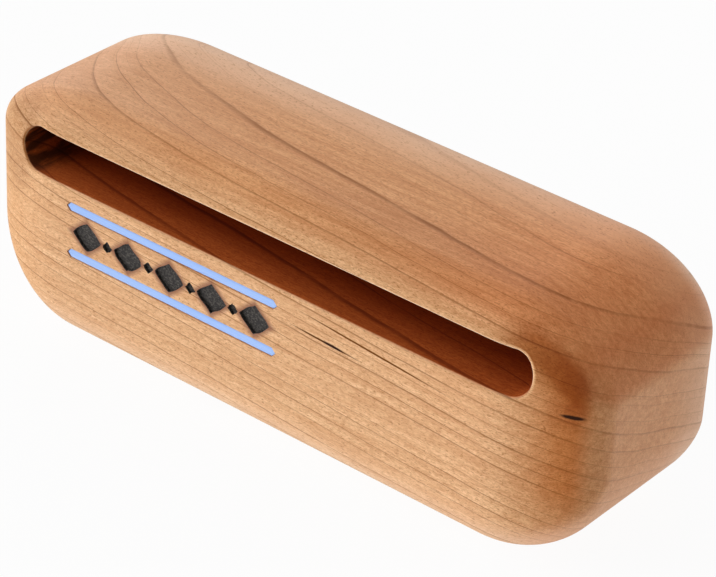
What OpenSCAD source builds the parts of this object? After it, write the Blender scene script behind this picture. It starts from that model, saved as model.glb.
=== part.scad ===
// Woodblock: one solid hardwood block with a blind slot under its top, and a painted border.
// Millimetres. The block stands on its flat underside, centred on the origin, and its length
// runs along X. The slot opens in the front, which faces -Y. +Z is up.

/* [Block] */
// Length of the block
block_length = 182; // [150:1:230]
// Width of the block, from front to back
block_width = 61; // [54:1:80]
// Height of the block
block_height = 64; // [60:1:80]

/* [Rounding] */
// How far the rounding of each end reaches along the length
end_round = 28; // [20:0.5:36]
// Radius of the rounding along the four long edges
edge_round = 14; // [8:0.5:18]
// How far the rounding of the right end reaches down from the top
right_top_round = 20; // [8:0.5:24]
// How far the rounding of the left end reaches down from the top
left_top_round = 14; // [8:0.5:20]
// How far the rounding of the right end reaches up from the underside
right_foot_round = 28; // [16:0.5:34]
// How far the rounding of the left end reaches up from the underside
left_foot_round = 36; // [16:0.5:38]

/* [Slot] */
// Height of the slot, which is the diameter of the cutter that made its round ends
slot_h = 10.7; // [8:0.1:14]
// Thickness of the sounding wall above the slot
top_wall = 7.7; // [5:0.1:10]
// Wood between the slot and each end of the block
end_wall = 15.2; // [12:0.1:26]
// Wood between the slot's floor and the back of the block
back_wall = 14; // [8:0.5:24]

/* [Border] */
// Distance from the left end of the block to the border
border_inset = 31; // [30:1:46]
// Length of the border
border_l = 66; // [40:1:72]
// Distance from the slot's lower lip to the border
border_drop = 3.8; // [3:0.1:6]
// Number of lozenges along the border
lozenge_count = 5; // [3:1:6]
// Length of a lozenge
lozenge_l = 8.6; // [6:0.1:9]
// Height of a lozenge
lozenge_h = 7.2; // [4:0.1:8]
// Length and height of the small diamond between two lozenges
diamond_size = 2.6; // [1.5:0.1:3]
// Height of a painted stripe
stripe_h = 2.4; // [1.5:0.1:3]
// Gap between the lozenges and each stripe
stripe_gap = 1.6; // [1:0.1:2]
// Depth of the pressed lozenges and diamonds
press_depth = 0.6; // [0.4:0.1:1]
// Depth of the groove that holds a stripe
groove_depth = 0.5; // [0.4:0.1:1]
// Thickness of the dried paint in a groove
paint_t = 0.3; // [0.1:0.05:0.35]
// Gap between the paint and the sides of its groove
paint_gap = 0.05; // [0.02:0.01:0.1]

/* [Hidden] */

// Facets in a quarter turn of the rounding
round_steps = 12;
// Facets in a full turn of the slot's ends
slot_facets = 96;
// How far a cut runs on past the face that it starts from
overrun = 1;

front_y = -block_width/2;
slot_z = block_height - top_wall - slot_h/2;
slot_depth = block_width - back_wall;
slot_straight = block_length - 2*end_wall - slot_h;

border_h = lozenge_h + 2*stripe_gap + 2*stripe_h;
border_x = -block_length/2 + border_inset;
border_z = slot_z - slot_h/2 - border_drop - border_h/2;
lozenge_pitch = border_l/lozenge_count;
stripe_offset = lozenge_h/2 + stripe_gap + stripe_h/2;

corner_x = block_length/2 - end_round;
corner_y = block_width/2 - edge_round;
ring_points = 4*(round_steps + 1);

// Each ring is a section across the length: a rectangle with four round corners. Towards an end
// its corners shrink by the cosine of the turn, while its place follows the sine.
function top_centre(top_round, shrink) = block_height - top_round + (top_round - edge_round)*shrink;
function foot_centre(foot_round, shrink) = foot_round - (foot_round - edge_round)*shrink;

// The centres of a section's corners, in the order that a ring passes them
function centres(side, shrink) =
    let (top = top_centre(side > 0 ? right_top_round : left_top_round, shrink),
         foot = foot_centre(side > 0 ? right_foot_round : left_foot_round, shrink))
        [[corner_y, top], [-corner_y, top], [-corner_y, foot], [corner_y, foot]];

function ring(side, end_turn) =
    let (shrink = cos(end_turn), middle = centres(side, shrink))
        [for (corner = [0:3])
            for (i = [0:round_steps])
                let (turn = 90*(corner + i/round_steps))
                    [side*(corner_x + end_round*sin(end_turn)),
                     middle[corner][0] + shrink*edge_round*cos(turn),
                     middle[corner][1] + shrink*edge_round*sin(turn)]
        ];

function flat(side) = [for (centre = centres(side, 0)) [side*block_length/2, centre[0], centre[1]]];

// Turns of the rings from the left end in to the middle, then out to the right end
inward_turns = [for (i = [round_steps - 1:-1:0]) 90*i/round_steps];
outward_turns = [for (i = [0:round_steps - 1]) 90*i/round_steps];

left_rings = [for (end_turn = inward_turns) ring(-1, end_turn)];
right_rings = [for (end_turn = outward_turns) ring(1, end_turn)];
rings = concat(left_rings, right_rings);
ring_count = len(rings);

first_right_point = ring_count*ring_points;
first_left_point = first_right_point + 4;

body_points = concat([for (one_ring = rings) each one_ring], flat(1), flat(-1));

function next_in_ring(i) = (i + 1) % ring_points;

// Two triangles for each cell between one ring and the next towards the right
wall_faces = [
    for (row = [0:ring_count - 2])
        for (i = [0:ring_points - 1])
            let (a = row*ring_points + i, b = row*ring_points + next_in_ring(i),
                 c = b + ring_points, d = a + ring_points)
                each [[a, c, b], [a, d, c]]
];

// A cap closes the last ring with a fan at each corner, a strip along each side and a rectangle
function cap_faces(ring_start, flat_start) = [
    for (corner = [0:3])
        each [
            for (i = [0:round_steps - 1])
                let (a = ring_start + corner*(round_steps + 1) + i)
                    [a, flat_start + corner, a + 1]
        ],
    for (corner = [0:3])
        let (a = ring_start + corner*(round_steps + 1) + round_steps,
             b = ring_start + next_in_ring(corner*(round_steps + 1) + round_steps),
             c = flat_start + (corner + 1) % 4, d = flat_start + corner)
            each [[a, c, b], [a, d, c]],
    [flat_start, flat_start + 3, flat_start + 2],
    [flat_start, flat_start + 2, flat_start + 1]
];

function turned(faces) = [for (face = faces) [face[0], face[2], face[1]]];

right_faces = cap_faces((ring_count - 1)*ring_points, first_right_point);
left_faces = turned(cap_faces(0, first_left_point));

module rounded_body() {
    polyhedron(points = body_points, faces = concat(wall_faces, right_faces, left_faces));
}

// A flat shape drawn in X and Z, cut or laid from a depth below the front out to another
module on_front(depth, thickness) {
    translate([0, front_y + depth, 0])
        rotate([90, 0, 0])
            linear_extrude(thickness)
                children();
}

module slot_outline() {
    translate([0, slot_z]) {
        square([slot_straight, slot_h], center = true);
        for (side = [-1, 1])
            translate([side*slot_straight/2, 0])
                circle(d = slot_h, $fn = slot_facets);
    }
}

module lozenge(length, height) {
    polygon([[-length/2, 0], [0, -height/2], [length/2, 0], [0, height/2]]);
}

module lozenge_row() {
    for (i = [0:lozenge_count - 1])
        translate([border_x + (i + 0.5)*lozenge_pitch, border_z])
            lozenge(lozenge_l, lozenge_h);
    for (i = [1:lozenge_count - 1])
        translate([border_x + i*lozenge_pitch, border_z])
            lozenge(diamond_size, diamond_size);
}

// A stripe is a bar with pointed ends, kept clear of the sides of its groove
module stripe_outline(clear) {
    half_l = border_l/2 - clear;
    half_h = stripe_h/2 - clear;
    polygon([[-half_l, 0], [half_h - half_l, -half_h], [half_l - half_h, -half_h],
             [half_l, 0], [half_l - half_h, half_h], [half_h - half_l, half_h]]);
}

module stripe_pair(clear) {
    for (side = [-1, 1])
        translate([border_x + border_l/2, border_z + side*stripe_offset])
            stripe_outline(clear);
}

module block() {
    color("burlywood")
        difference() {
            rounded_body();
            on_front(slot_depth, slot_depth + overrun) slot_outline();
            on_front(press_depth, press_depth + overrun) lozenge_row();
            on_front(groove_depth, groove_depth + overrun) stripe_pair(0);
        }
}

module painted_stripes() {
    color("lightsteelblue")
        on_front(groove_depth, paint_t) stripe_pair(paint_gap);
}

block();
painted_stripes();
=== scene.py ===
"""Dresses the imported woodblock: one rounded hardwood block with a blind slot, and a painted border.

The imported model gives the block's outer size. Shapes are in metres, but for names that end in
_mm, and the patterns in the wood are placed in millimetres.
"""
import logging
import math
from dataclasses import dataclass, field
from enum import Enum

import bpy
import numpy as np
from mathutils import Matrix, Vector


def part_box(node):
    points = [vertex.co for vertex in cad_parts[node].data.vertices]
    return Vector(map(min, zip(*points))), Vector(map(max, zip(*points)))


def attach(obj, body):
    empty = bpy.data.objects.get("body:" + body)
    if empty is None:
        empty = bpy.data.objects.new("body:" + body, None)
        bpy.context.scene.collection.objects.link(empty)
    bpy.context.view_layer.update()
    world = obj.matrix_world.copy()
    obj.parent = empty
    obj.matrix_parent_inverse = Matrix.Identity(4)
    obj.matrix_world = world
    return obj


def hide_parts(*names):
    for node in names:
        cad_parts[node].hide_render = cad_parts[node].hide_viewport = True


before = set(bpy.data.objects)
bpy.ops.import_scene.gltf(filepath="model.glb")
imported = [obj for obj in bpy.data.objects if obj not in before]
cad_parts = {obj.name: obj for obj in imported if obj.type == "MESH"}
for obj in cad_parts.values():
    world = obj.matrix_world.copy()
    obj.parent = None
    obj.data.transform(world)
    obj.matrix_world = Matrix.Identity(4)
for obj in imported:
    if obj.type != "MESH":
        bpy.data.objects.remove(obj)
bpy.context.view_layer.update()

LOG = logging.getLogger("woodblock")
MM = 0.001
ORIGIN = (0.0, 0.0, 0.0)
BODY = "root"


class Slot(str, Enum):
    """The record's material slots."""

    HARDWOOD = "hardwood"
    BORDER_PAINT = "border_paint"


@dataclass(frozen=True)
class BlockSizes:
    """Sizes of the wooden block. Its length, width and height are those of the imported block."""

    length: float
    width: float
    height: float
    end_round: float = 28.0 * MM
    edge_round: float = 14.0 * MM
    right_top_round: float = 20.0 * MM
    left_top_round: float = 14.0 * MM
    right_foot_round: float = 28.0 * MM
    left_foot_round: float = 36.0 * MM
    slot_height: float = 10.7 * MM
    top_wall: float = 7.7 * MM
    end_wall: float = 15.2 * MM
    back_wall: float = 14.0 * MM
    lip_round: float = 0.7 * MM
    floor_fillet: float = 0.6 * MM

    @classmethod
    def from_frame(cls) -> "BlockSizes":
        """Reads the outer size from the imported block.

        Returns:
            The sizes, with the CAD block's own length, width and height.
        """
        low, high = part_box("block")
        return cls(*(high - low))

    @property
    def front_y(self) -> float:
        """Where the flat of the front lies."""
        return -self.width / 2

    @property
    def slot_z(self) -> float:
        """Height of the slot's middle above the underside."""
        return self.height - self.top_wall - self.slot_height / 2

    @property
    def slot_radius(self) -> float:
        """Radius of the slot's round ends."""
        return self.slot_height / 2

    @property
    def slot_straight(self) -> float:
        """Half the length of the slot's straight lips."""
        return self.length / 2 - self.end_wall - self.slot_radius

    @property
    def slot_floor_y(self) -> float:
        """Where the slot's floor lies."""
        return self.width / 2 - self.back_wall

    @property
    def band_y(self) -> float:
        """Half the width of the straight band between the front and back rounding."""
        return self.width / 2 - self.edge_round


@dataclass(frozen=True)
class MeshCounts:
    """How finely the block's surface is divided."""

    lip_columns: int = 110
    end_columns: int = 96
    wall_rows: int = 36
    lip_rows: int = 9
    face_rows: int = 54
    band_rows: int = 26
    cap_rows: int = 4
    fillet_rows: int = 5
    ray_samples: int = 400
    halvings: int = 60


class BlockSurface:
    """The block's whole surface as one grid of closed rings.

    The rings start round the middle of the slot's floor, run out along the slot's walls, over its
    lips, across the front, along the band round the block and close on the middle of the back.
    Every ring has one point for each column, and a column leaves the slot's outline along the
    outline's own normal.
    """

    CAP_REACH = 0.95

    def __init__(self, sizes: BlockSizes, counts: MeshCounts) -> None:
        """Works out the slot's outline and the ray of each column.

        Args:
            sizes: the block's sizes.
            counts: how finely the surface is divided.
        """
        self.sizes = sizes
        self.counts = counts
        self.outline, self.normal = self._slot_outline()
        self.reach = self._reach_to_belt()

    def _slot_outline(self) -> tuple[np.ndarray, np.ndarray]:
        """The slot's outline in X and Z, counterclockwise seen from the front.

        Each end is a half circle about the end of the straight lips: centre + radius times the
        direction. The lips join the half circles.

        Returns:
            The outline's points and the outward direction at each, both of shape (columns, 2).
        """
        s, c = self.sizes, self.counts
        turn = (np.arange(c.end_columns) + 0.5) / c.end_columns * math.pi
        along = ((np.arange(c.lip_columns) + 0.5) / c.lip_columns * 2 - 1) * s.slot_straight
        right = np.stack([np.cos(turn - math.pi / 2), np.sin(turn - math.pi / 2)], -1)
        up = np.tile([0.0, 1.0], (c.lip_columns, 1))
        normal = np.concatenate([right, up, -right, -up])
        centre_x = np.concatenate([
            np.full(c.end_columns, s.slot_straight), -along,
            np.full(c.end_columns, -s.slot_straight), along])
        centre = np.stack([centre_x, np.full_like(centre_x, s.slot_z)], -1)
        return centre + s.slot_radius * normal, normal

    def rounding(self, x: np.ndarray, z: np.ndarray) -> np.ndarray:
        """How far a place lies into the rounding: 0 on the flat, 1 on the block's outline.

        Every section across the length is a rectangle with round corners. Towards an end the
        corners shrink by sqrt(1 - past^2), where past is how far into the end's rounding the
        section lies, and their centres move in from the top and the underside. The share is the
        length of (past, z past the corner's centre / edge rounding).

        Args:
            x: places along the length.
            z: places up the height.

        Returns:
            The share at each place.
        """
        s = self.sizes
        past = np.clip(np.abs(x) - (s.length / 2 - s.end_round), 0, None) / s.end_round
        shrink = np.sqrt(np.clip(1 - past**2, 0, 1))
        top_round = np.where(x > 0, s.right_top_round, s.left_top_round)
        foot_round = np.where(x > 0, s.right_foot_round, s.left_foot_round)
        top_centre = s.height - top_round + (top_round - s.edge_round) * shrink
        foot_centre = foot_round - (foot_round - s.edge_round) * shrink
        over = np.clip(np.maximum(z - top_centre, foot_centre - z), 0, None) / s.edge_round
        return np.sqrt(past**2 + over**2)

    def depth(self, x: np.ndarray, z: np.ndarray) -> np.ndarray:
        """Half the block's width at a place: the flat band plus the ellipsoid's own depth."""
        share = np.clip(self.rounding(x, z), 0, 1)
        return self.sizes.band_y + self.sizes.edge_round * np.sqrt(1 - share**2)

    def _reach_to_belt(self) -> np.ndarray:
        """How far each column runs from the slot's outline to the block's, by halving the span."""
        near = np.zeros(len(self.outline))
        far = np.full(len(self.outline), self.sizes.length)
        for _ in range(self.counts.halvings):
            middle = (near + far) / 2
            place = self.outline + middle[:, None] * self.normal
            inside = self.rounding(place[:, 0], place[:, 1]) < 1
            near = np.where(inside, middle, near)
            far = np.where(inside, far, middle)
        return near

    def _lip(self) -> tuple[np.ndarray, np.ndarray, np.ndarray]:
        """The eased lip: an arc that touches both the slot's wall and the front.

        With the front sloping back by m per unit outward, an arc of radius r touches the wall at
        the depth y + m r + r sqrt(1 + m^2), and ends square to the slope.

        Returns:
            The arc's points (rows, columns, 3), the depth where the wall starts and how far out
            the arc ends.
        """
        s = self.sizes
        radius = s.lip_round
        edge = -self.depth(*self.outline.T)
        out = self.outline + radius * self.normal
        slope = (-self.depth(*out.T) - edge) / radius
        steep = np.sqrt(1 + slope**2)
        centre_y = edge + slope * radius + radius * steep
        end_turn = np.pi - np.arccos(-slope / steep)
        share = np.linspace(0, 1, self.counts.lip_rows)[:, None]
        turn = np.pi - share * (np.pi - end_turn)
        outward = radius + radius * np.cos(turn)
        points = self._place(outward, centre_y - radius * np.sin(turn))
        return points, centre_y, outward[-1]

    def _place(self, outward: np.ndarray, y: np.ndarray) -> np.ndarray:
        """Points at a distance outward along each column's ray, and at the depth y."""
        flat = self.outline + outward[..., None] * self.normal
        return np.stack([flat[..., 0], y + 0 * flat[..., 0], flat[..., 1]], -1)

    def _face(self, start: np.ndarray) -> np.ndarray:
        """One face of the block as rings from near the slot's outline to the block's outline.

        The rings are evenly spaced along the surface: each ray is sampled finely, its length over
        the surface is summed, and the rings are read off at equal shares of that length.

        Args:
            start: how far out each column starts.

        Returns:
            Points of shape (rows, columns, 3) on the front, whose y is below zero.
        """
        c = self.counts
        share = np.sin(np.linspace(0, math.pi / 2, c.ray_samples))[:, None]
        outward = start + share * (self.reach - start)
        place = self._place(outward, 0 * outward)
        place[..., 1] = -self.depth(place[..., 0], place[..., 2])
        place[-1, :, 1] = -self.sizes.band_y
        step = np.linalg.norm(np.diff(place, axis=0), axis=-1)
        run = np.concatenate([np.zeros((1, step.shape[1])), np.cumsum(step, axis=0)])
        run /= run[-1]
        wanted = np.linspace(0, 1, c.face_rows)[:, None]
        last = (run[None] <= wanted[:, None]).sum(1).clip(1, c.ray_samples - 1)
        low = np.take_along_axis(run, last - 1, 0)
        high = np.take_along_axis(run, last, 0)
        share = ((wanted - low) / (high - low))[..., None]
        before = np.take_along_axis(place, last[..., None] - 1, 0)
        after = np.take_along_axis(place, last[..., None], 0)
        return before + share * (after - before)

    def _slot_walls(self, start_y: np.ndarray) -> np.ndarray:
        """The slot's walls from its floor out to the lips, with a small fillet at the floor.

        Args:
            start_y: the depth of each column where its lip begins.

        Returns:
            Points of shape (rows, columns, 3), floor first.
        """
        s, c = self.sizes, self.counts
        fillet = s.floor_fillet
        turn = np.linspace(0, math.pi / 2, c.fillet_rows)[:, None] + np.zeros(len(start_y))
        inward, off_floor = fillet * (1 - np.sin(turn)), fillet * (1 - np.cos(turn))
        corner = self._place(-inward, s.slot_floor_y - off_floor)
        share = np.linspace(0, 1, c.wall_rows + 1)[1:-1, None]
        wall_y = (s.slot_floor_y - fillet) * (1 - share) + start_y * share
        return np.concatenate([corner, self._place(0 * wall_y, wall_y)])

    def _cap(self, width: float) -> np.ndarray:
        """Rings that fill the slot's outline in the plane Y = 0, from its middle out.

        Args:
            width: how far inside the outline the first ring left out lies.

        Returns:
            Points of shape (rows, columns, 3).
        """
        widest = self.sizes.slot_radius * self.CAP_REACH
        inward = np.linspace(widest, width, self.counts.cap_rows + 1)
        outward = -inward[:-1, None] + np.zeros(len(self.outline))
        return self._place(outward, 0 * outward)

    def grid(self) -> np.ndarray:
        """All the rings, from the slot's floor to the middle of the back.

        Returns:
            Points of shape (rows, columns, 3).
        """
        s, c = self.sizes, self.counts
        floor, middle = self._cap(s.floor_fillet), self._cap(0.0)[::-1]
        floor[..., 1] = s.slot_floor_y
        middle[..., 1] = self.depth(middle[..., 0], middle[..., 2])
        lip, wall_y, lip_end = self._lip()
        front = self._face(lip_end)[1:]
        band_y = np.linspace(-s.band_y, s.band_y, c.band_rows + 1)[1:-1, None]
        belt = front[-1]
        band = np.repeat(belt[None], c.band_rows - 1, 0)
        band[..., 1] = band_y
        back = self._face(0 * self.reach)[::-1].copy()
        back[..., 1] *= -1
        return np.concatenate([floor, self._slot_walls(wall_y), lip, front, band, back, middle])

    def mesh(self, name: str) -> bpy.types.Mesh:
        """The surface as a closed mesh. Its first and last rings are closed by a strip of faces.

        A strip joins each column to the column that mirrors it in the slot's middle line.

        Args:
            name: the mesh's name.

        Returns:
            The mesh.
        """
        grid = self.grid()
        rows, columns, _ = grid.shape
        last = (rows - 1) * columns
        middle = self.counts.end_columns // 2
        here = np.arange(middle, middle + columns // 2 - 1)
        mirrored = (2 * middle - 1 - here) % columns
        strip = np.stack([here, here + 1, (mirrored - 1) % columns, mirrored], -1)
        faces = np.concatenate([ring_faces(rows, columns), strip, last + strip[:, ::-1]])
        return faced_mesh(name, grid.reshape(-1, 3), faces.tolist())


def ring_faces(rows: int, columns: int) -> np.ndarray:
    """The faces between neighbouring rings of a grid.

    Args:
        rows: how many rings it has.
        columns: how many points each closed ring has.

    Returns:
        Four point numbers for each face.
    """
    row, column = np.meshgrid(np.arange(rows - 1), np.arange(columns), indexing="ij")
    here = row * columns + column
    beside = row * columns + (column + 1) % columns
    return np.stack([here, here + columns, beside + columns, beside], -1).reshape(-1, 4)


def faced_mesh(name: str, points: np.ndarray, faces: list) -> bpy.types.Mesh:
    """Makes a smooth mesh of points and faces.

    Args:
        name: the mesh's name.
        points: array of shape (points, 3).
        faces: point numbers of each face.

    Returns:
        The mesh.
    """
    mesh = bpy.data.meshes.new(name)
    mesh.from_pydata(points, [], faces)
    mesh.shade_smooth()
    mesh.update()
    return mesh


def merged_mesh(name: str, grids: list) -> bpy.types.Mesh:
    """Makes one mesh of several closed grids, each with a flat cap at both ends.

    Args:
        name: the mesh's name.
        grids: arrays of shape (rows, columns, 3), each row a closed ring.

    Returns:
        The mesh, with smooth faces.
    """
    points, faces, first = [], [], 0
    for grid in grids:
        rows, columns, _ = grid.shape
        faces += (first + ring_faces(rows, columns)).tolist()
        faces.append(list(range(first, first + columns)))
        faces.append(list(range(first + rows * columns - 1, first + (rows - 1) * columns - 1, -1)))
        points.append(grid.reshape(-1, 3))
        first += rows * columns
    return faced_mesh(name, np.concatenate(points), faces)


def add_piece(name: str, mesh: bpy.types.Mesh) -> bpy.types.Object:
    """Links a mesh into the scene as an object at the origin.

    Args:
        name: the piece's name.
        mesh: its mesh, already in place.

    Returns:
        The object.
    """
    piece = bpy.data.objects.new(name, mesh)
    bpy.context.scene.collection.objects.link(piece)
    return piece


Socket = bpy.types.NodeSocket
Value = "Socket | float | tuple"


class Graph:
    """A node tree under construction, with a method for each kind of node that the finishes use."""

    def __init__(self, tree: bpy.types.NodeTree) -> None:
        """Keeps the node tree to add to."""
        self.tree = tree

    def node(self, kind: str, **settings: object) -> bpy.types.Node:
        """Adds a node.

        Args:
            kind: Blender's name of the node, without its ShaderNode prefix.
            **settings: properties to set on it.

        Returns:
            The node.
        """
        node = self.tree.nodes.new("ShaderNode" + kind)
        for name, value in settings.items():
            setattr(node, name, value)
        return node

    def feed(self, socket: Socket, value: Value) -> None:
        """Links a socket to another, or sets its value.

        Args:
            socket: the input.
            value: an output to link, or a plain value.
        """
        if isinstance(value, Socket):
            self.tree.links.new(value, socket)
        else:
            socket.default_value = value

    def feed_in_order(self, node: bpy.types.Node, *values: Value) -> Socket:
        """Feeds a node's inputs from the first on, and gives its first output."""
        for socket, value in zip(node.inputs, values):
            self.feed(socket, value)
        return node.outputs[0]

    def math(self, operation: str, *values: Value, clamp: bool = False) -> Socket:
        """One of Blender's operations on one to three numbers, kept between 0 and 1 if clamped."""
        return self.feed_in_order(self.node("Math", operation=operation, use_clamp=clamp), *values)

    def times(self, product: Value, *others: Value) -> Socket:
        """The product of two or more numbers, taken in order."""
        for value in others:
            product = self.math("MULTIPLY", product, value)
        return product

    def line(self, value: Value, slope: Value, start: Value, clamp: bool = False) -> Socket:
        """A straight line: start plus slope times the value."""
        return self.math("MULTIPLY_ADD", value, slope, start, clamp=clamp)

    def vector(self, operation: str, a: Value, b: Value = (0, 0, 0)) -> Socket:
        """One of Blender's operations on two vectors, such as MULTIPLY or ADD."""
        node = self.node("VectorMath", operation=operation)
        self.feed_in_order(node, a, b)
        return node.outputs["Value" if operation in ("LENGTH", "DOT_PRODUCT") else "Vector"]

    def split(self, vector: Value) -> tuple:
        """The X, Y and Z of a vector."""
        node = self.node("SeparateXYZ")
        self.feed(node.inputs[0], vector)
        return tuple(node.outputs)

    def join(self, x: Value, y: Value, z: Value) -> Socket:
        """A vector made of X, Y and Z."""
        return self.feed_in_order(self.node("CombineXYZ"), x, y, z)

    def noise(self, place: Value, stretch: tuple, detail: float = 2.0,
              roughness: float = 0.5) -> Socket:
        """Smooth noise from 0 to 1.

        Args:
            place: where it is read, in millimetres.
            stretch: cycles for each millimetre along X, Y and Z.
            detail: how many finer octaves it has.
            roughness: how strong the finer octaves are.

        Returns:
            The noise.
        """
        node = self.node("TexNoise", noise_dimensions="3D")
        self.feed(node.inputs["Vector"], self.vector("MULTIPLY", place, stretch))
        node.inputs["Scale"].default_value = 1.0
        node.inputs["Detail"].default_value = detail
        node.inputs["Roughness"].default_value = roughness
        return node.outputs["Fac"]

    def step(self, value: Value, limits: tuple) -> Socket:
        """A smooth step from 0 at the first limit to 1 at the second, rising or falling."""
        falling = limits[0] > limits[1]
        node = self.node("MapRange", interpolation_type="SMOOTHSTEP")
        return self.feed_in_order(
            node, value, min(limits), max(limits), float(falling), float(not falling))

    def mix(self, share: Value, a: Value, b: Value, blend: str = "MIX") -> Socket:
        """A colour between two others.

        Args:
            share: 0 for the first, 1 for the second.
            a: the first colour.
            b: the second colour.
            blend: Blender's name of the blend.

        Returns:
            The colour.
        """
        node = self.node("Mix", data_type="RGBA", blend_type=blend)
        self.feed(node.inputs[0], share)
        self.feed(node.inputs[6], a)
        self.feed(node.inputs[7], b)
        return node.outputs[2]

    def tint(self, share: Value, colour: Value, tint: Value) -> Socket:
        """The colour times a tint, as far as the share goes."""
        return self.mix(share, colour, tint, "MULTIPLY")

    def bump(self, height: Value, strength: float, height_mm: float) -> Socket:
        """The normal of a surface whose bumps are so many millimetres high."""
        node = self.node("Bump")
        node.inputs["Strength"].default_value = strength
        node.inputs["Distance"].default_value = height_mm * MM
        self.feed(node.inputs["Height"], height)
        return node.outputs[0]

    def mix_shaders(self, share: Value, first: Value, second: Value, output: str) -> None:
        """Sends a mix of two shaders, 0 the first and 1 the second, to the tree's output node."""
        mixed = self.feed_in_order(self.node("MixShader"), share, first, second)
        self.feed(self.node(output).inputs["Surface"], mixed)


def effect(name: str, inputs: dict, outputs: tuple) -> tuple:
    """Starts a shader node group with named inputs and outputs.

    Args:
        name: the group's name.
        inputs: socket name to its default value, a number or a vector.
        outputs: names of the numbers that it puts out.

    Returns:
        The group, its graph, its input sockets by name and its output sockets by name.
    """
    tree = bpy.data.node_groups.new(name, "ShaderNodeTree")
    for label, value in inputs.items():
        kind = "Vector" if isinstance(value, tuple) else "Float"
        socket = tree.interface.new_socket(label, in_out="INPUT", socket_type="NodeSocket" + kind)
        socket.default_value = value
    for label in outputs:
        tree.interface.new_socket(label, in_out="OUTPUT", socket_type="NodeSocketFloat")
    entry, end = tree.nodes.new("NodeGroupInput"), tree.nodes.new("NodeGroupOutput")
    return tree, Graph(tree), entry.outputs, end.inputs


def place_effect(graph: Graph, group: bpy.types.NodeTree, **values: Value) -> dict:
    """Places a node group in a material with its own values.

    Args:
        graph: the material's graph.
        group: the node group.
        **values: input name, with underscores for spaces, to its value.

    Returns:
        The group's outputs by name.
    """
    node = graph.node("Group", node_tree=group)
    for label, value in values.items():
        graph.feed(node.inputs[label.replace("_", " ")], value)
    return {socket.name: socket for socket in node.outputs}


@dataclass(frozen=True)
class Noise:
    """Noise in the wood: cycles for each millimetre, finer octaves and their strength.

    Limits, where it has them, sharpen it to a smooth step between two of its values.
    """

    stretch: tuple
    detail: float = 2.0
    roughness: float = 0.5
    limits: tuple = ()

    def read(self, g: Graph, place: Value) -> Socket:
        """The noise at a place, from 0 to 1."""
        value = g.noise(place, self.stretch, self.detail, self.roughness)
        return g.step(value, self.limits) if self.limits else value


@dataclass(frozen=True)
class LogShape:
    """How the growth rings of the log lie in the block, in millimetres.

    A ring runs where z + lean_back y + lean_along x - bend past^2 + slow waves stays the same, and
    past is how far x lies to the left of bend_start. The bend grows by bend_on_top through the
    heights of top_wood. So the rings run nearly flat through the block, as in a board cut from the
    side of a log, and turn up towards its left end. The phase of a ring runs from 0 to 1.
    """

    lean_back: float = 0.42
    lean_along: float = 0.055
    bend_start: float = -20.0
    bend: float = 0.0006
    bend_on_top: float = 0.0010
    top_wood: tuple = (42.0, 62.0)
    spacing: float = 3.7
    waves: tuple = ((Noise((0.011, 0.03, 0.03), 1.0), 3.5), (Noise((0.05, 0.12, 0.12)), 0.7))
    uneven: Noise = Noise((0.45, 1.0, 1.0), 1.0)
    uneven_by: float = 2.6
    line_phase: tuple = (0.895, 0.962)
    line_end: tuple = (1.0, 0.98)
    shade_phase: tuple = (0.25, 0.93)
    shade_end: tuple = (1.0, 0.95)
    grazed_delay: float = 0.03
    weakest: float = 0.42
    strength_range: float = 0.65
    breaks: Noise = Noise((0.05, 0.4, 0.4), 3.0, limits=(0.3, 0.6))
    broken: float = 0.55


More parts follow.
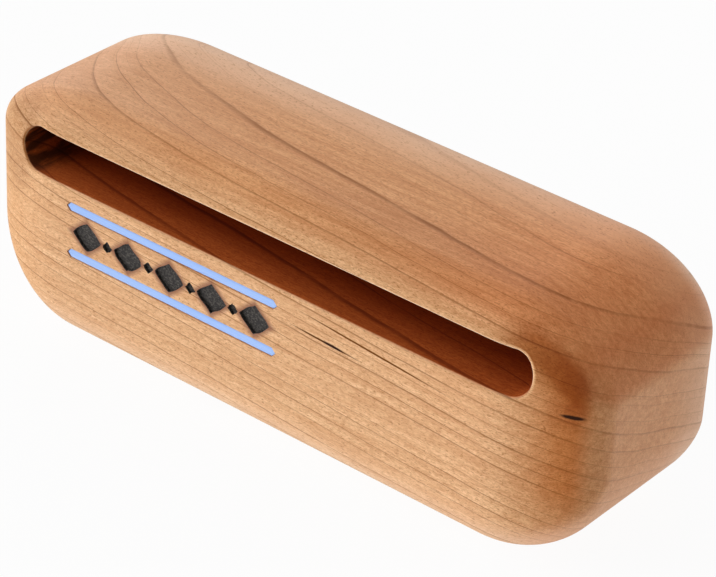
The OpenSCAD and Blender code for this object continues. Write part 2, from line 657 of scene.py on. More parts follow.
class WoodEffects:
    """The shader node groups that every wooden surface shares."""

    FIBRE = {
        "Streak": Noise((0.05, 0.9, 0.9), 3.0, 0.65),
        "Speckle": Noise((0.85, 3.1, 3.1), 2.0, 0.75, (0.34, 0.66)),
        "Fleck": Noise((0.95, 3.7, 3.7), 1.0, 0.6, (0.60, 0.70)),
        "Mottle": Noise((0.05, 0.11, 0.11), 3.0, 0.55),
    }
    ROUGH_EDGE = Noise((0.5, 1.6, 1.6), 3.0, 0.6)
    SPOT_EDGE = (1.15, 0.55)

    def __init__(self, log: LogShape) -> None:
        """Builds the groups once.

        Args:
            log: how the growth rings lie.
        """
        self.rings = self._rings(log)
        self.fibre = self._fibre()
        self.spot = self._spot()

    def _rings(self, log: LogShape) -> bpy.types.NodeTree:
        """Growth rings: a thin dark line at the end of each ring, and a slow change of tone.

        Grazed is 1 where a face cuts the rings at a shallow angle, and keeps the lines thin there.

        Args:
            log: how the growth rings lie.

        Returns:
            The group.
        """
        tree, g, given, out = effect(
            "growth_rings",
            {"Place": ORIGIN, "Spacing": log.spacing, "Seed": 0.0, "Grazed": 0.0},
            ("Line", "Shade"))
        place = given["Place"]
        x, y, z = g.split(place)
        past = g.math("MINIMUM", g.math("SUBTRACT", x, log.bend_start), 0.0)
        bend = g.line(g.step(z, log.top_wood), log.bend_on_top, log.bend)
        level = g.line(x, log.lean_along, g.line(y, log.lean_back, z))
        level = g.math("SUBTRACT", level, g.times(past, past, bend))
        for noise, height in log.waves:
            level = g.line(g.math("SUBTRACT", noise.read(g, place), 0.5), height, level)
        level = g.math("ADD", level, given["Seed"])
        count = g.math("DIVIDE", level, given["Spacing"])
        uneven = log.uneven.read(g, g.join(count, 0.0, 0.0))
        count = g.line(uneven, log.uneven_by, count)
        phase = g.math("FRACT", count)
        which = g.node("TexWhiteNoise", noise_dimensions="1D")
        g.feed(which.inputs["W"], g.math("FLOOR", count))
        strength = g.line(which.outputs["Value"], log.strength_range, log.weakest)
        late = g.line(given["Grazed"], -log.grazed_delay, phase)
        line = g.times(g.step(late, log.line_phase), g.step(phase, log.line_end))
        shade = g.times(g.step(phase, log.shade_phase), g.step(phase, log.shade_end))
        unbroken = g.line(log.breaks.read(g, place), 1.0 - log.broken, log.broken)
        g.feed(out["Line"], g.times(line, unbroken, strength))
        g.feed(out["Shade"], g.times(shade, strength))
        return tree

    def _fibre(self) -> bpy.types.NodeTree:
        """Fibres and pores: fine streaks and speckle along X, and short dark flecks between them."""
        tree, g, given, out = effect("fibre", {"Place": ORIGIN}, tuple(self.FIBRE))
        for label, noise in self.FIBRE.items():
            g.feed(out[label], noise.read(g, given["Place"]))
        return tree

    def _spot(self) -> bpy.types.NodeTree:
        """A spot along the grain: an ellipsoid about a point, with a rough edge."""
        tree, g, given, out = effect(
            "spot",
            {"Place": ORIGIN, "Centre": ORIGIN, "Half Size": (1.0, 1.0, 1.0), "Slope": 0.0,
             "Roughness": 0.3},
            ("Mask",))
        x, y, z = g.split(g.vector("SUBTRACT", given["Place"], given["Centre"]))
        z = g.line(x, given["Slope"], z)
        reach = g.vector("LENGTH", g.vector("DIVIDE", g.join(x, y, z), given["Half Size"]))
        rough = g.math("SUBTRACT", self.ROUGH_EDGE.read(g, given["Place"]), 0.5)
        reach = g.line(rough, given["Roughness"], reach)
        g.feed(out["Mask"], g.step(reach, self.SPOT_EDGE))
        return tree


class Dressing:
    """A material under construction, which reads its place on the piece in millimetres."""

    def __init__(self, name: str) -> None:
        """Starts the material.

        Args:
            name: the material's name.
        """
        self.material = bpy.data.materials.new(name)
        self.material.use_nodes = True
        self.graph = Graph(self.material.node_tree)
        coords = self.graph.node("TexCoord")
        self.normal = coords.outputs["Normal"]
        self.place = self.graph.vector("MULTIPLY", coords.outputs["Object"], (1 / MM,) * 3)

    def finish(self, colour: Value, roughness: Value, normal: Value,
               shine: float) -> bpy.types.Material:
        """Feeds the material's shader.

        Args:
            colour: the base colour.
            roughness: the roughness.
            normal: the normal, with its bumps.
            shine: the specular level, the same all over.

        Returns:
            The material.
        """
        shader = self.graph.tree.nodes["Principled BSDF"]
        shader.inputs["Specular IOR Level"].default_value = shine
        for label, value in (("Base Color", colour), ("Roughness", roughness), ("Normal", normal)):
            self.graph.feed(shader.inputs[label], value)
        return self.material


class Reading(Enum):
    """What a fade reads: a place in millimetres, or how far the face looks to a side, -1 to 1."""

    ALONG = 0
    ACROSS = 1
    HEIGHT = 2
    RIGHT = 3
    BACK = 4
    TOP = 5


@dataclass(frozen=True)
class Fade:
    """A smooth step of one reading, 0 at start and 1 at end, rising or falling.

    With a loss it goes from 1 down to 1 less the loss instead. Its share says how much it counts.
    """

    reading: Reading
    start: float
    end: float
    loss: float = 0.0
    share: float = 1.0


@dataclass(frozen=True)
class Spot:
    """A spot in the wood, in millimetres, with its colour or tint. Its slope follows the grain."""

    centre: tuple
    half_size: tuple
    colour: tuple
    slope: float = 0.0
    roughness: float = 0.3


@dataclass(frozen=True)
class Tint:
    """A colour that the wood is multiplied by where all of its fades read 1."""

    colour: tuple
    fades: tuple = ()


class Zones:
    """Where a point of the block lies and which way it faces, for the tones of the wood."""

    SLOT_EDGE_MM = (0.16, 0.0)
    BEHIND_FLOOR_MM = 2.0
    TOP = Fade(Reading.TOP, 0.45, 0.95)
    RIGHT_END = Fade(Reading.RIGHT, 0.15, 0.7)

    def __init__(self, dressing: Dressing, sizes: BlockSizes) -> None:
        """Works out the masks that more than one tone uses.

        Args:
            dressing: the material under construction.
            sizes: the block's sizes.
        """
        self.graph, self.place, self.sizes = dressing.graph, dressing.place, sizes
        self.readings = self.graph.split(dressing.place) + self.graph.split(dressing.normal)
        self.in_slot = self.near_slot(self.SLOT_EDGE_MM)
        self.outside = self.graph.math("SUBTRACT", 1.0, self.in_slot)
        self.on_top = self.graph.times(self.read(self.TOP), self.outside)
        self.on_end = self.graph.times(self.read(self.RIGHT_END), self.outside)

    def read(self, *fades: Fade) -> Socket:
        """The product of one or more fades.

        Args:
            *fades: the fades, in the order in which they are multiplied.

        Returns:
            The mask.
        """
        masks = []
        for fade in fades:
            mask = self.graph.step(self.readings[fade.reading.value], (fade.start, fade.end))
            masks.append(self.graph.line(mask, -fade.loss, 1.0) if fade.loss else mask)
        return self.graph.times(*masks)

    def spot(self, effects: WoodEffects, spot: Spot) -> Socket:
        """Where a spot lies: 1 at its middle, falling to 0 at its edge."""
        return place_effect(
            self.graph, effects.spot, Place=self.place, Centre=spot.centre,
            Half_Size=spot.half_size, Slope=spot.slope, Roughness=spot.roughness)["Mask"]

    def near_slot(self, limits: tuple) -> Socket:
        """1 on the slot's walls and floor, falling to 0 over the lips.

        The distance to the slot's outline is the length of (x past the straight lips, z from the
        slot's middle) less the radius of its ends.

        Args:
            limits: the distances outside the outline, in millimetres, where it reads 0 and 1.

        Returns:
            The mask.
        """
        g, s = self.graph, self.sizes
        x, y, z = self.readings[:3]
        past = g.math("SUBTRACT", g.math("ABSOLUTE", x), s.slot_straight / MM)
        rise = g.math("SUBTRACT", z, s.slot_z / MM)
        reach = g.vector("LENGTH", g.join(g.math("MAXIMUM", past, 0.0), 0.0, rise))
        mask = g.step(g.math("SUBTRACT", reach, s.slot_radius / MM), limits)
        floor = s.slot_floor_y / MM + self.BEHIND_FLOOR_MM
        return g.times(mask, g.math("LESS_THAN", y, floor))


@dataclass(frozen=True)
class HardwoodFinish:
    """Oiled, fine-grained hardwood: pale early wood, thin dark ring lines and darker end grain, with
    painted shade, painted light and a painted highlight.

    A share says how strongly something shows, from 0 to 1. A loss says how much weaker it gets.
    """

    pale: tuple = (0.92, 0.575, 0.310, 1)
    deep: tuple = (0.74, 0.400, 0.190, 1)
    deep_limits: tuple = (0.3, 0.7)
    fibre: tuple = (0.48, 0.205, 0.060, 1)
    speckle_share: float = 0.62
    shade_share: float = 0.26
    shade_loss_on_top: float = 0.11
    mottle_limits: tuple = (0.3, 0.7)
    mottle_share: float = 0.20
    line: tuple = (0.26, 0.080, 0.0, 1)
    minor_spacing: float = 1.55
    minor_seed: float = 0.7
    minor_share: float = 0.16
    fleck: tuple = (0.34, 0.120, 0.015, 1)
    fleck_share: float = 0.66
    grain_loss_on_end: float = 0.45
    grain_loss_on_top: float = 0.25
    line_loss_on_end: float = 0.60
    line_loss_on_top: float = 0.12
    line_to_back: Fade = Fade(Reading.ACROSS, -4.0, 7.0, share=-0.38)

    # A paler tone along the upper back edge and towards the left of the top; the same colour is
    # painted light on the faces turned down and to the left
    pale_and_light: tuple = (0.92, 0.70, 0.52, 1)
    paler_top_left: Fade = Fade(Reading.ALONG, -10.0, -70.0, share=0.20)
    paler_end: Fade = Fade(Reading.BACK, 0.55, 0.15)
    paler_upper: Fade = Fade(Reading.TOP, 0.02, 0.40, share=0.76)
    paler_back: Fade = Fade(Reading.ACROSS, 2.0, 24.0, share=0.16)
    painted_light_below: Fade = Fade(Reading.TOP, -0.15, -0.70, share=0.32)
    painted_light_left: Fade = Fade(Reading.RIGHT, -0.35, -0.65, share=0.08)

    # Painted shade: the top darker and redder than the front
    top: Tint = Tint((0.985, 0.825, 0.725, 1))
    # Painted shade: darker and redder towards the right end, most on the top and the right end
    right_end_shade: Tint = Tint((0.97, 0.79, 0.68, 1), (Fade(Reading.ALONG, 15.0, 80.0),))
    right_end_shade_share: float = 0.85
    # Painted shade: a darker band down the front-right rounded corner
    corner: Tint = Tint((0.86, 0.62, 0.40, 1), (
        Fade(Reading.RIGHT, 0.06, 0.50), Fade(Reading.RIGHT, 0.80, 0.54),
        Fade(Reading.TOP, 0.5, 0.9, loss=0.7), Fade(Reading.HEIGHT, 27.0, 13.0, loss=0.85),
        Fade(Reading.BACK, 0.35, 0.05)))
    # Painted shade: darker on the rounding from the top into the right end
    shoulder: Tint = Tint((0.92, 0.76, 0.66, 1), (
        Fade(Reading.TOP, 0.05, 0.32), Fade(Reading.TOP, 0.95, 0.72),
        Fade(Reading.RIGHT, 0.45, 0.80)))
    # Painted shade: a dark reddish brown patch on the front-top corner by the slot's right end,
    # limited by which way the faces turn
    slot_end_shade: Spot = Spot((79.0, -26.0, 53.0), (15.0, 12.0, 13.0), (0.68, 0.47, 0.28, 1), roughness=0.15)
    slot_end_shade_edge: tuple = (
        Fade(Reading.BACK, -0.97, -0.82), Fade(Reading.BACK, -0.38, -0.64),
        Fade(Reading.RIGHT, 0.84, 0.64))
    # A broad, slightly darker patch on the middle of the top
    top_dark_patch: Spot = Spot((40.0, -17.0, 63.0), (46.0, 13.0, 8.0), (0.91, 0.87, 0.84, 1))
    # A darker patch at the upper front-left corner
    left_darkening: Spot = Spot((-79.0, -26.0, 50.0), (9.0, 9.0, 16.0), (0.80, 0.76, 0.72, 1), roughness=0.15)
    # The left end is darker end grain, deepened by painted shade against the strong light from the
    # left; it takes the tint of the patch above
    left_end_shade: Fade = Fade(Reading.RIGHT, -0.72, -0.95)

    # Painted highlight: a pale cream line along the slot's lips, strongest on the upper lip and fading
    # out towards the left
    lip_highlight: tuple = (0.95, 0.72, 0.50, 1)
    lip_highlight_edge_mm: tuple = (0.60, 0.35)
    lip_highlight_share: float = 0.12
    lip_highlight_share_above: float = 0.50
    lip_highlight_turn_mm: float = 3.0
    lip_highlight_left: Fade = Fade(Reading.ALONG, -76.0, -50.0)
    # Painted shade inside the slot: darker and redder from the mouth inward
    mouth_shade_tint: tuple = (0.58, 0.225, 0.078, 1)
    deep_shade_tint: tuple = (0.41, 0.098, 0.012, 1)
    shade_depth_mm: tuple = (1.0, 16.0)
    soot: tuple = (0.030, 0.008, 0.002, 1)
    soot_at: Fade = Fade(Reading.ALONG, -66.0, -73.0, share=0.85)
    soot_chatter: Noise = Noise((0.5, 0.12, 0.7), limits=(0.70, 0.40))
    scorch: tuple = (0.22, 0.065, 0.025, 1)
    scorch_share: float = 0.85
    marks: tuple = (
        Spot((20.5, -30.0, 37.35), (11.0, 3.0, 0.32), (0.13, 0.034, 0.0, 1), 0.055),
        Spot((22.7, -30.0, 37.28), (3.4, 3.0, 0.46), (0.03, 0.004, 0.0, 1), 0.055),
        Spot((33.5, -30.0, 40.72), (22.0, 3.0, 0.31), (0.17, 0.046, 0.0, 1), 0.083),
        Spot((84.9, -24.9, 44.3), (3.0, 3.0, 0.60), (0.04, 0.010, 0.002, 1), 0.10),
    )

    roughness: float = 0.35
    streak_roughness: float = 0.12
    dry_roughness: float = 0.40
    shine: float = 0.14
    speckle_depth: float = 0.5
    fleck_depth: float = 0.6
    line_depth: float = 0.3
    bump: tuple = (0.25, 0.05)

    def build(self, effects: WoodEffects, sizes: BlockSizes, border: "Border") -> bpy.types.Material:
        """Makes the material.

        Args:
            effects: the shared wood effects.
            sizes: the block's sizes, for the painted shade inside the slot.
            border: the burnt border, for the scorched wood round each lozenge.

        Returns:
            The material.
        """
        dressing = Dressing("hardwood")
        g, place = dressing.graph, dressing.place
        zones = Zones(dressing, sizes)
        fibre = place_effect(g, effects.fibre, Place=place)
        rings = place_effect(g, effects.rings, Place=place, Grazed=zones.on_top)
        minor = place_effect(
            g, effects.rings, Place=place, Spacing=self.minor_spacing, Seed=self.minor_seed)
        colour = self._grain(zones, fibre, rings, minor)
        colour = self._tones(zones, effects, colour)
        colour = self._slot_tones(zones, colour)
        colour = g.mix(g.times(border.halo(zones), self.scorch_share), colour, self.scorch)
        dry = zones.in_slot
        for mark in self.marks:
            mask = zones.spot(effects, mark)
            colour = g.mix(mask, colour, mark.colour)
            dry = g.math("MAXIMUM", dry, mask)
        gloss = g.line(fibre["Streak"], self.streak_roughness, self.roughness)
        height = g.times(fibre["Speckle"], -self.speckle_depth)
        height = g.math("SUBTRACT", height, g.times(fibre["Fleck"], self.fleck_depth))
        height = g.math("SUBTRACT", height, g.times(rings["Line"], self.line_depth))
        roughness = g.line(dry, self.dry_roughness, gloss)
        return dressing.finish(colour, roughness, g.bump(height, *self.bump), self.shine)

    def _grain(self, zones: Zones, fibre: dict, rings: dict, minor: dict) -> Socket:
        """The wood's colour: streaks, speckle, a paler tone with painted light on the faces turned
        down and to the left, rings and flecks.

        Args:
            zones: where the point lies.
            fibre: the fibre effect's outputs.
            rings: the growth rings' outputs.
            minor: the outputs of the finer lines between them.

        Returns:
            The colour.
        """
        g = zones.graph
        calm = g.line(zones.on_end, -self.grain_loss_on_end, 1.0)
        calm = g.line(zones.on_top, -self.grain_loss_on_top, calm)
        faint = g.line(zones.on_end, -self.line_loss_on_end, 1.0)
        slack = g.line(
            zones.read(self.line_to_back), self.line_to_back.share, -self.line_loss_on_top)
        faint = g.line(zones.on_top, slack, faint)
        shade = g.line(zones.on_top, -self.shade_loss_on_top, self.shade_share)
        mottle = g.step(fibre["Mottle"], self.mottle_limits)
        colour = g.mix(g.step(fibre["Streak"], self.deep_limits), self.pale, self.deep)
        for share, over in (
                (g.times(fibre["Speckle"], self.speckle_share, calm), self.fibre),
                (self._pale_and_light_share(zones), self.pale_and_light),
                (g.times(rings["Shade"], shade, faint), self.fibre),
                (g.times(mottle, self.mottle_share), self.deep),
                (g.times(minor["Line"], self.minor_share), self.line),
                (g.times(rings["Line"], faint), self.line),
                (g.times(fibre["Fleck"], self.fleck_share, calm), self.fleck)):
            colour = g.mix(share, colour, over)
        return colour

    def _pale_and_light_share(self, zones: Zones) -> Socket:
        """How far the wood turns paler: most along the upper back edge, and as painted light on the
        faces turned down and to the left.

        Args:
            zones: where the point lies.

        Returns:
            The mask.
        """
        g = zones.graph
        share = g.times(zones.on_top, zones.read(self.paler_top_left), self.paler_top_left.share)
        upper = g.times(zones.on_end, zones.read(self.paler_end))
        upper = g.math("MAXIMUM", upper, zones.read(self.paler_upper))
        back = g.line(upper, self.paler_upper.share, self.paler_back.share)
        share = g.line(zones.read(self.paler_back), back, share)
        # Painted light: paler on the faces turned down, then on those turned to the left
        share = g.line(zones.read(self.painted_light_below), self.painted_light_below.share, share)
        return g.line(zones.read(self.painted_light_left), self.painted_light_left.share, share, clamp=True)

    def _tones(self, zones: Zones, effects: WoodEffects, colour: Value) -> Socket:
        """Darkens the colour with painted shade on the top, towards the right end, on the eased right
        corners and by the slot's right end, with a darker patch on the top and one at the front-left
        corner, and darkens the left end as end grain and painted shade.

        Args:
            zones: where the point lies.
            effects: the shared wood effects.
            colour: the colour of the grain.

        Returns:
            The tinted colour.
        """
        g, outside = zones.graph, zones.outside
        flat = g.math("MAXIMUM", zones.on_top, zones.on_end)
        flat = g.line(flat, self.right_end_shade_share, 1.0 - self.right_end_shade_share)
        slot_end_shade = g.times(zones.spot(effects, self.slot_end_shade), zones.read(*self.slot_end_shade_edge))
        left_darkening = g.math("MAXIMUM", zones.spot(effects, self.left_darkening), zones.read(self.left_end_shade))
        # Painted shade on the top, towards the right end, on the corners and by the slot's right end,
        # then the darker patches and the left end
        for share, tint in (
                (zones.on_top, self.top),
                (g.times(zones.read(*self.right_end_shade.fades), flat), self.right_end_shade),
                (g.times(zones.read(*self.corner.fades), outside), self.corner),
                (g.times(zones.read(*self.shoulder.fades), outside), self.shoulder),
                (g.times(slot_end_shade, outside), self.slot_end_shade),
                (g.times(zones.spot(effects, self.top_dark_patch), outside), self.top_dark_patch),
                (g.times(left_darkening, outside), self.left_darkening)):
            colour = g.tint(share, colour, tint.colour)
        return colour

    def _slot_tones(self, zones: Zones, colour: Value) -> Socket:
        """Paints a highlight on the slot's lips, painted shade on its walls that deepens inward, and
        soot at its left end.

        Args:
            zones: where the point lies.
            colour: the wood's colour so far.

        Returns:
            The colour.
        """
        g, sizes = zones.graph, zones.sizes
        up, across = zones.readings[Reading.HEIGHT.value], zones.readings[Reading.ACROSS.value]
        middle, front = sizes.slot_z / MM, sizes.front_y / MM
        # Painted highlight along the slot's lips
        lip = g.times(zones.near_slot(self.lip_highlight_edge_mm), zones.outside)
        above = g.step(up, (middle - self.lip_highlight_turn_mm, middle + self.lip_highlight_turn_mm))
        above = g.line(above, self.lip_highlight_share_above, self.lip_highlight_share)
        above = g.times(above, zones.read(self.lip_highlight_left))
        colour = g.mix(g.times(lip, above), colour, self.lip_highlight)
        # Painted shade inside the slot, deepening from the mouth inward
        deep = g.step(across, tuple(front + depth for depth in self.shade_depth_mm))
        colour = g.tint(zones.in_slot, colour, g.mix(deep, self.mouth_shade_tint, self.deep_shade_tint))
        soot = g.times(zones.in_slot, zones.read(self.soot_at), self.soot_at.share)
        return g.mix(g.times(soot, self.soot_chatter.read(g, zones.place)), colour, self.soot)


@dataclass(frozen=True)
class CoatFinish:
    """A thin skin on the wood: two colours mixed by one noise, which also makes its relief."""

    name: str
    low: tuple
    high: tuple
    noise: Noise
    limits: tuple
    roughness: float
    rougher_by: float
    shine: float
    bump: tuple

    def build(self) -> bpy.types.Material:
        """Makes the material.

        Returns:
            The material.
        """
        dressing = Dressing(self.name)
        g = dressing.graph
        relief = self.noise.read(g, dressing.place)
        colour = g.mix(g.step(relief, self.limits), self.low, self.high)
        roughness = g.line(relief, self.rougher_by, self.roughness)
        return dressing.finish(colour, roughness, g.bump(relief, *self.bump), self.shine)


# Wood pressed and burnt nearly black, with a rough grey-brown crust
CHARRED = CoatFinish(
    "charred_wood", (0.012, 0.009, 0.008, 1), (0.085, 0.072, 0.062, 1),
    Noise((1.4, 2.2, 2.2), 4.0, 0.75), limits=(0.44, 0.66), roughness=0.60, rougher_by=0.2,
    shine=0.25, bump=(0.6, 0.12))

# A thin coat of light-blue paint, with faint brush lines along its length
PAINT = CoatFinish(
    "border_paint", (0.24, 0.43, 0.90, 1), (0.30, 0.48, 0.90, 1),
    Noise((0.06, 2.5, 2.5), 3.0, 0.6), limits=(0.3, 0.7), roughness=0.37, rougher_by=0.1,
    shine=0.5, bump=(0.3, 0.04))


@dataclass
class Border:
    """The border on the front: a row of burnt lozenges between two painted stripes.

    The press profile gives depths in pressed depths, and how much wider the mark is there than at
    its bottom, in flares. The film's crown gives insets in edges and heights in thicknesses.
    """

    sizes: BlockSizes
    inset: float = 31.0 * MM
    length: float = 66.0 * MM
    drop: float = 3.8 * MM
    count: int = 5
    lozenge_length: float = 8.6 * MM
    lozenge_height: float = 7.2 * MM
    diamond_size: float = 2.6 * MM
    stripe_height: float = 2.4 * MM
    stripe_gap: float = 1.6 * MM
    press_depth: float = 0.6 * MM
    flush: float = 0.01 * MM
    groove_depth: float = 0.5 * MM
    paint_thickness: float = 0.3 * MM
    paint_gap: float = 0.05 * MM
    flare: float = 0.22 * MM
    press_profile: tuple = ((-1.0, 2.6), (0.0, 1.0), (0.25, 0.3), (1.0, 0.0))
    groove_flare_share: float = 0.5
    outline_points: int = 64
    groove_points: int = 24
    bluntness: float = 1.18
    waver: float = 0.05 * MM
    waver_turns: tuple = (2, 9)
    film_edge: float = 0.25 * MM
    film_side: float = 0.4
    film_shoulder: float = 0.5
    film_crown: tuple = ((2.2, 0.97), (3.6, 1.0))
    film_rows: int = 6
    film_points: int = 40
    halo_reach: tuple = (1.75, 1.12)
    seed: int = 7

    @property
    def height(self) -> float:
        """Height of the whole border."""
        return self.lozenge_height + 2 * self.stripe_gap + 2 * self.stripe_height

    @property
    def left(self) -> float:
        """Where the border starts along the length."""
        return -self.sizes.length / 2 + self.inset

    @property
    def middle_z(self) -> float:
        """Height of the border's middle."""
        lip = self.sizes.slot_z - self.sizes.slot_radius
        return lip - self.drop - self.height / 2

    @property
    def stripe_offset(self) -> float:
        """How far a stripe's middle lies from the border's."""
        return (self.lozenge_height + self.stripe_height) / 2 + self.stripe_gap

    def lozenges(self) -> list:
        """Centre, half length and half height of every pressed lozenge and small diamond."""
        pitch, small = self.length / self.count, self.diamond_size / 2
        half_l, half_h = self.lozenge_length / 2, self.lozenge_height / 2
        large = [(self.left + (i + 0.5) * pitch, half_l, half_h) for i in range(self.count)]
        return large + [(self.left + i * pitch, small, small) for i in range(1, self.count)]

    def press(self) -> bpy.types.Object:
        """The solid that the pressed marks leave: each is a flared plug in the front.

        A lozenge's outline is the curve |u|^n + |v|^n = 1 with n a little over 1, the bluntness,
        which rounds its points, and a slow ripple makes it uneven as burning does.

        Returns:
            The object that holds all the plugs.
        """
        rng = np.random.default_rng(self.seed)
        turn = np.arange(self.outline_points) / self.outline_points * 2 * math.pi
        depth, grow = np.array(self.press_profile).T * [[self.press_depth], [self.flare]]
        u, v = (np.sign(part) * np.abs(part) ** (2 / self.bluntness)
                for part in (np.cos(turn), np.sin(turn)))
        grids = []
        for x, half_l, half_h in self.lozenges():
            waves = sum(rng.normal(0, self.waver) * np.cos(k * turn + rng.uniform(0, 6))
                        for k in range(*self.waver_turns))
            y = self.sizes.front_y + depth[:, None] + 0 * u
            grids.append(np.stack([
                x + (half_l + waves + grow[:, None]) * u, y,
                self.middle_z + (half_h + waves + grow[:, None]) * v], -1))
        outline = self.bar(0.0, self.groove_points)
        rings = outline + np.sign(outline) * (grow * self.groove_flare_share)[:, None, None]
        y = self.sizes.front_y + depth[:, None] * self.groove_depth / self.press_depth
        grids += [self._at_stripe(side, rings, y) for side in (-1, 1)]
        return add_piece("press", merged_mesh("press", grids))

    def bar(self, inset: float, side_points: int) -> np.ndarray:
        """A stripe's outline: a bar with pointed ends.

        Args:
            inset: how far inside the stripe's own outline it lies.
            side_points: points along each of its long sides.

        Returns:
            Points of shape (points, 2), counterclockwise seen from the front.
        """
        half_l, half_h = self.length / 2 - inset, self.stripe_height / 2 - inset
        along = np.linspace(half_l - half_h, half_h - half_l, side_points)
        upper = np.stack([along, np.full(side_points, half_h)], -1)
        return np.concatenate([[[half_l, 0.0]], upper, [[-half_l, 0.0]], -upper])

    def _at_stripe(self, side: int, rings: np.ndarray, y: np.ndarray) -> np.ndarray:
        """Puts rings round the middle of the upper (1) or lower (-1) stripe, at the depths y."""
        return np.stack([
            self.left + self.length / 2 + rings[..., 0], y + 0 * rings[..., 0],
            self.middle_z + side * self.stripe_offset + rings[..., 1]], -1)

    def stripes(self) -> bpy.types.Object:
        """The dried paint in the two grooves, each film rounded off at its edges.

        From its foot a film stands up by film_side of its thickness, turns in over a quarter round
        film_edge wide and film_shoulder high, and rises to a low crown.

        Returns:
            The object.
        """
        turn = np.linspace(0, math.pi / 2, self.film_rows)
        crown_in, crown_up = np.array(self.film_crown).T
        inward = np.concatenate([[0.0], 1 - np.cos(turn), crown_in]) * self.film_edge
        shoulder = self.film_side + self.film_shoulder * np.sin(turn)
        rise = np.concatenate([[0.0], shoulder, crown_up]) * self.paint_thickness
        rings = np.stack([self.bar(i, self.film_points) for i in self.paint_gap + inward])
        y = self.sizes.front_y + self.groove_depth - rise[:, None]
        grids = [self._at_stripe(side, rings, y)[::-1] for side in (-1, 1)]
        return add_piece("painted_stripes_film", merged_mesh("painted_stripes_film", grids))

    def halo(self, zones: Zones) -> Socket:
        """Scorched wood round each lozenge.

        The distance from the nearest lozenge is |u| over its half length plus |w| over its half
        height, where u and w run from its middle, and the scorch fades as that goes past 1.

        Args:
            zones: where the point lies.

        Returns:
            The mask.
        """
        g = zones.graph
        x, y, z = zones.readings[:3]
        start, pitch = self.left / MM, self.length / self.count / MM
        turn = g.math("FRACT", g.math("DIVIDE", g.math("SUBTRACT", x, start), pitch))
        u = g.math("ABSOLUTE", g.times(g.math("SUBTRACT", turn, 0.5), pitch))
        w = g.math("ABSOLUTE", g.math("SUBTRACT", z, self.middle_z / MM))
        reach = g.line(w, 2 * MM / self.lozenge_height, g.times(u, 2 * MM / self.lozenge_length))
        right_of_start = g.math("GREATER_THAN", x, start)
        left_of_end = g.math("LESS_THAN", x, start + self.length / MM)
        front = g.times(right_of_start, left_of_end, g.math("LESS_THAN", y, 0.0))
        return g.times(g.step(reach, self.halo_reach), front)


def cut(piece: bpy.types.Object, tool: bpy.types.Object) -> None:
    """Cuts one closed mesh out of another for good, and removes the tool.

    Args:
        piece: the piece to cut.
        tool: the solid to take away.
    """
    modifier = piece.modifiers.new("cut", "BOOLEAN")
    modifier.operation = "DIFFERENCE"
    modifier.solver = "EXACT"
    modifier.object = tool
    graph = bpy.context.evaluated_depsgraph_get()
    mesh = bpy.data.meshes.new_from_object(piece.evaluated_get(graph))
    piece.modifiers.clear()
    old, piece.data = piece.data, mesh
    bpy.data.meshes.remove(old)
    bpy.data.objects.remove(tool)


def mark_faces(mesh: bpy.types.Mesh, border: Border) -> None:
    """Gives the faces of the pressed marks the charred material, which is the mesh's second.

    These are the faces round the row that lie deeper than flush with the front.

    Args:
        mesh: the block's mesh after the marks are cut.
        border: the border that they belong to.
    """
    count = len(mesh.polygons)
    centre = np.empty(count * 3)
    mesh.polygons.foreach_get("center", centre)
    x, y, z = centre.reshape(-1, 3).T
    front = border.sizes.front_y
    pressed = (
        (y > front + border.flush) & (y < front + 2 * border.press_depth)
        & (np.abs(x - border.left - border.length / 2) < border.length / 2)
        & (np.abs(z - border.middle_z) < border.lozenge_height / 2 + border.stripe_gap / 2))
    mesh.polygons.foreach_set("material_index", pressed.astype(np.int32))


@dataclass(frozen=True)
class SoftLight:
    """A broad soft light in the surround, brightest at its middle and fading evenly round it.

    Its radiance in a direction is strength times e to the power of narrowness (c - 1), where c is
    the cosine of the angle from its middle. Azimuth is in degrees from the front towards the
    right end, and elevation in degrees above the floor.
    """

    azimuth: float
    elevation: float
    narrowness: float
    strength: float

    def radiance(self, g: Graph, towards: Value) -> Socket:
        """The light's radiance in a direction.

        Args:
            g: the surround's graph.
            towards: the direction, as a unit vector.

        Returns:
            The radiance.
        """
        az, el = math.radians(self.azimuth), math.radians(self.elevation)
        middle = (math.sin(az) * math.cos(el), -math.cos(az) * math.cos(el), math.sin(el))
        away = g.math("SUBTRACT", g.vector("DOT_PRODUCT", towards, middle), 1.0)
        return g.times(g.math("EXPONENT", g.times(away, self.narrowness)), self.strength)


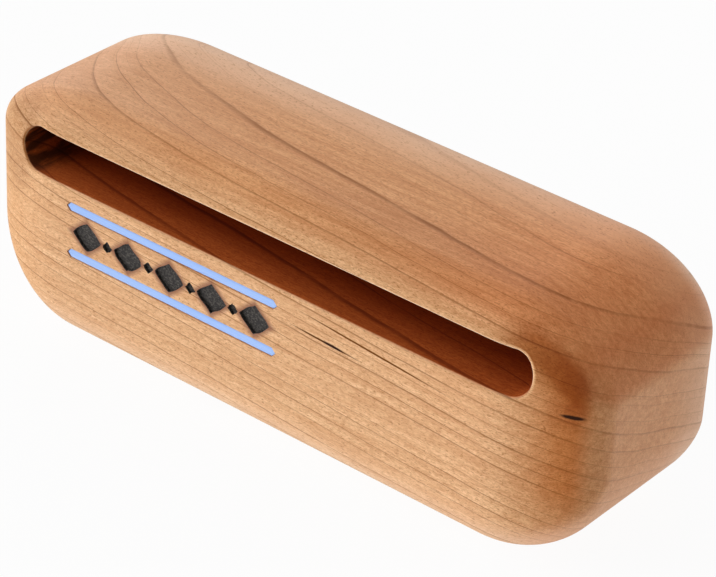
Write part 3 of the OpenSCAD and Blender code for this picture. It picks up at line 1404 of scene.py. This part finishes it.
@dataclass
class Studio:
    """The floor, the soft light and the camera at the photograph's viewing angle.

    The light is a low softbox at the front left and a weaker one at the back left, with what a
    pale table throws back from the front left, from the right and from straight below. Darker
    surrounds shade the front right and the back left.
    """

    sizes: BlockSizes
    azimuth: float = 38.085
    elevation: float = 31.586
    roll: float = 2.953
    focal_pixels: float = 3132.0
    image_width: float = 716.0
    sensor_width_mm: float = 36.0
    distance: float = 0.7375
    aim_right: float = 0.00395
    aim_up: float = -0.00231
    clip: tuple = (0.01, 50.0)
    floor_half: float = 4.0
    floor_colour: tuple = (0.9, 0.9, 0.9, 1)
    floor_glow: float = 0.94
    even_light: float = 0.58
    lights: tuple = (
        SoftLight(-34, -45, 10.8, 6.3),
        SoftLight(-54, 21, 11.9, 4.5),
        SoftLight(-125, 18, 14.0, 2.3),
        SoftLight(132, -53, 10.5, 1.4),
        SoftLight(0, -90, 18.8, 2.6),
        SoftLight(175, -20, 6.0, 1.3),
    )
    shades: tuple = (SoftLight(27, -31, 4.7, 1.0), SoftLight(-142, -32, 7.0, 1.0))

    def camera(self) -> None:
        """Makes the camera: a turn about the block's middle, a roll and a slide in its own plane."""
        az, el, roll = (math.radians(a) for a in (self.azimuth, self.elevation, self.roll))
        back = Vector((math.sin(az) * math.cos(el), -math.cos(az) * math.cos(el), math.sin(el)))
        level = Vector((math.cos(az), math.sin(az), 0))
        upright = back.cross(level)
        right = math.cos(roll) * level + math.sin(roll) * upright
        up = math.cos(roll) * upright - math.sin(roll) * level
        middle = Vector((0, 0, self.sizes.height / 2))
        place = middle + self.distance * back + self.aim_right * right + self.aim_up * up
        data = bpy.data.cameras.new("camera")
        data.sensor_width = self.sensor_width_mm
        data.lens = self.focal_pixels / self.image_width * self.sensor_width_mm
        data.clip_start, data.clip_end = self.clip
        camera = bpy.data.objects.new("camera", data)
        bpy.context.scene.collection.objects.link(camera)
        camera.matrix_world = Matrix((
            (right.x, up.x, back.x, place.x), (right.y, up.y, back.y, place.y),
            (right.z, up.z, back.z, place.z), (0, 0, 0, 1)))
        bpy.context.scene.camera = camera

    def floor(self) -> None:
        """A wide pale floor at the level that the block stands on, with the block's faint shadow.

        The surround holds the light that a real floor throws back, so the floor lets it through.
        """
        h = self.floor_half
        mesh = bpy.data.meshes.new("floor")
        mesh.from_pydata([(-h, -h, 0), (h, -h, 0), (h, h, 0), (-h, h, 0)], [], [(0, 1, 2, 3)])
        floor = add_piece("floor", mesh)
        floor.visible_diffuse = floor.visible_glossy = floor.visible_shadow = False
        material = bpy.data.materials.new("floor")
        material.use_nodes = True
        g = Graph(material.node_tree)
        g.tree.nodes.clear()
        lit = g.node("BsdfDiffuse")
        lit.inputs["Color"].default_value = self.floor_colour
        glow = g.times(g.node("LightPath").outputs["Is Camera Ray"], self.floor_glow)
        g.mix_shaders(glow, lit.outputs[0], g.node("Emission").outputs[0], "OutputMaterial")
        mesh.materials.append(material)

    def surround(self) -> None:
        """The light all round the block, and pale grey where the camera sees past the floor.

        It is the even light plus every soft light, times one less each shade. The Background
        node's own colour, a grey of 0.8, dims the whole.
        """
        world = bpy.data.worlds.new("surround")
        bpy.context.scene.world = world
        world.use_nodes = True
        g = Graph(world.node_tree)
        g.tree.nodes.clear()
        towards = g.node("TexCoord").outputs["Generated"]
        radiance = self.even_light
        for light in self.lights:
            radiance = g.math("ADD", radiance, light.radiance(g, towards))
        for shade in self.shades:
            radiance = g.times(radiance, g.math("SUBTRACT", 1.0, shade.radiance(g, towards)))
        lit, seen = g.node("Background"), g.node("Background")
        g.feed(lit.inputs["Strength"], radiance)
        by_camera = g.node("LightPath").outputs["Is Camera Ray"]
        g.mix_shaders(by_camera, lit.outputs[0], seen.outputs[0], "OutputWorld")

    def build(self) -> None:
        """Makes everything round the block."""
        bpy.context.scene.view_settings.view_transform = "Standard"
        self.camera()
        self.floor()
        self.surround()


@dataclass
class Woodblock:
    """The block and its border, with their finishes."""

    sizes: BlockSizes
    sharp_degrees: float = 32.0
    border: Border = field(init=False)

    def __post_init__(self) -> None:
        """Places the border on the block."""
        self.border = Border(self.sizes)

    def build(self) -> list:
        """Makes and dresses every piece.

        Returns:
            The pieces.
        """
        return [self._block(), self._paint()]

    def _block(self) -> bpy.types.Object:
        """The wooden block with its slot and its pressed marks."""
        surface = BlockSurface(self.sizes, MeshCounts())
        block = add_piece("wood_block", surface.mesh("wood_block"))
        cut(block, self.border.press())
        effects = WoodEffects(LogShape())
        block.data.materials.clear()
        block.data.materials.append(HardwoodFinish().build(effects, self.sizes, self.border))
        block.data.materials.append(CHARRED.build())
        mark_faces(block.data, self.border)
        block.data.shade_smooth()
        block.data.set_sharp_from_angle(angle=math.radians(self.sharp_degrees))
        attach(block, BODY)
        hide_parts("block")
        return block

    def _paint(self) -> bpy.types.Object:
        """The dried paint of the two stripes."""
        film = self.border.stripes()
        film.data.materials.append(PAINT.build())
        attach(film, BODY)
        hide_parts("painted_stripes")
        return film


def main() -> None:
    """Builds the woodblock and its studio."""
    logging.basicConfig(level=logging.INFO, format="%(message)s")
    sizes = BlockSizes.from_frame()
    for piece in Woodblock(sizes).build():
        LOG.info("%s: %d faces", piece.name, len(piece.data.polygons))
    Studio(sizes).build()


if __name__ == "__main__":
    main()
